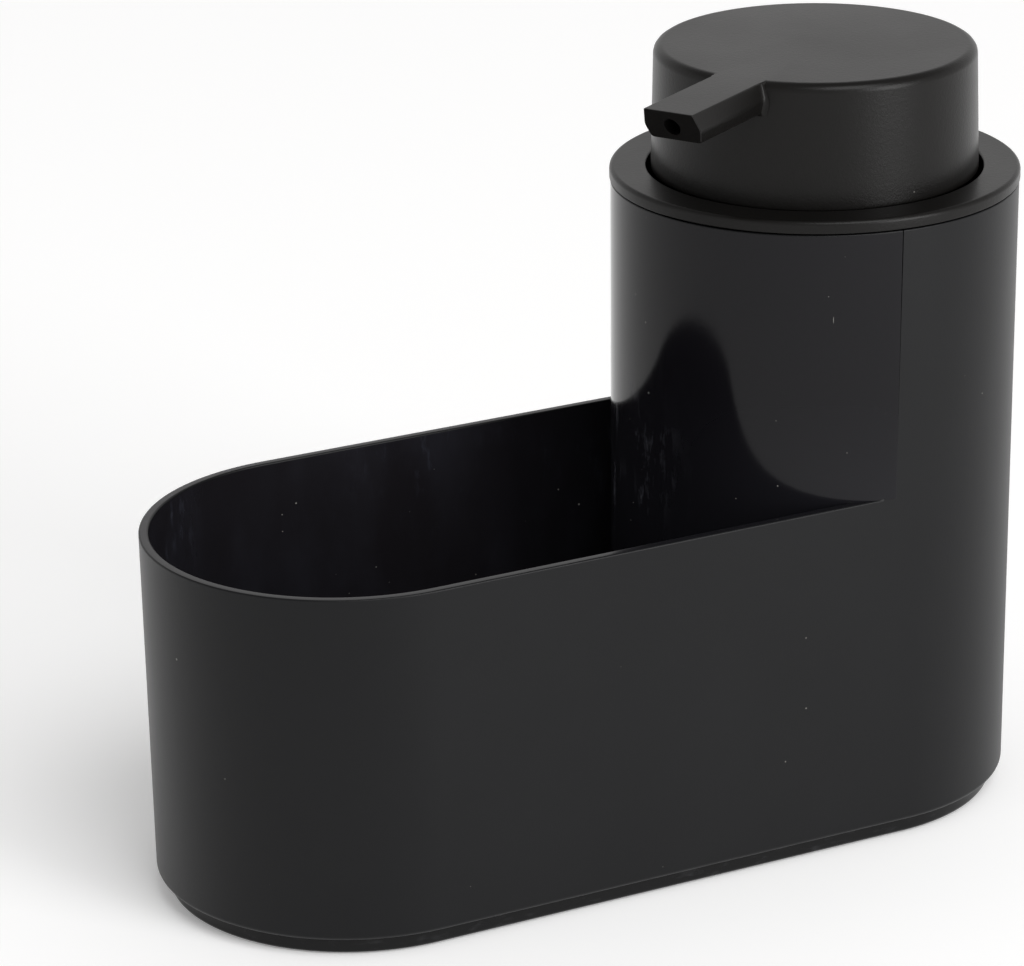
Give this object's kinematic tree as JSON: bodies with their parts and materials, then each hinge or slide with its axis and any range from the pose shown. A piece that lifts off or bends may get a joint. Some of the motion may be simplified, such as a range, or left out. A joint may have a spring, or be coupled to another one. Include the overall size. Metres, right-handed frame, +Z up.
{
  "type": "sink caddy with soap dispenser",
  "caption": "Open sink tray moulded in one piece with a round soap tower, whose wide-headed lotion pump presses, swivels and lifts out for refilling.",
  "frame": {"origin": "middle of the part's bounding box at its lowest face, which is the plane of the foot pads", "axes": "+X runs along the housing from the open tray to the soap tower, +Y is the side away from the picture's camera, +Z is up"},
  "size_m": [0.1936, 0.0852, 0.1629],
  "materials": {
    "satin_black": "moulded black plastic, satin on the outer walls and glossy on the tray side of the tower",
    "gloss_black": "glossy black plastic",
    "matte_black": "fine-grained satin black plastic",
    "black_rubber": "soft black rubber",
    "natural_plastic": "undyed milky polypropylene",
    "soft_white_plastic": "undyed soft polyethylene",
    "spring_steel": "drawn stainless spring wire",
    "valve_steel": "polished stainless balls"
  },
  "bodies": {
    "caddy": {"caddy_housing": "satin_black", "base_plate": "gloss_black", "foot_pad_front_left": "black_rubber", "foot_pad_rear_left": "black_rubber", "foot_pad_front_right": "black_rubber", "foot_pad_rear_right": "black_rubber"},
    "pump": {"collar": "matte_black", "collar_seal_ring": "black_rubber", "pump_gasket": "soft_white_plastic", "pump_cylinder": "natural_plastic", "stem_guide": "natural_plastic", "closure_nut": "matte_black", "ball_cage": "natural_plastic", "dip_tube": "soft_white_plastic", "return_spring": "spring_steel"},
    "inlet_valve_ball": {"inlet_ball": "valve_steel"},
    "plunger": {"pump_stem": "natural_plastic", "piston": "soft_white_plastic", "spring_follower": "natural_plastic"},
    "outlet_valve_ball": {"outlet_ball": "valve_steel"},
    "head": {"head_cap": "matte_black", "actuator_core": "natural_plastic"}
  },
  "joints": [
    {"name": "pump_lift", "type": "slide", "parent": "caddy", "child": "pump", "axis": [0, 0, 1], "range_m": [0, 0.13]},
    {"name": "inlet_valve", "type": "slide", "parent": "pump", "child": "inlet_valve_ball", "axis": [0, 0, 1], "range_m": [0, 0.0012]},
    {"name": "pump_press", "type": "slide", "parent": "pump", "child": "plunger", "axis": [0, 0, -1], "range_m": [0, 0.014], "stiffness_N_per_m": 500, "springref_m": -0.01, "deforming": ["return_spring"]},
    {"name": "outlet_valve", "type": "slide", "parent": "plunger", "child": "outlet_valve_ball", "axis": [0, 0, 1], "range_m": [0, 0.0012]},
    {"name": "head_swivel", "type": "hinge", "parent": "plunger", "child": "head", "pos_m": [0.05422, 0, 0.151], "axis": [0, 0, 1], "continuous": true}
  ]
}
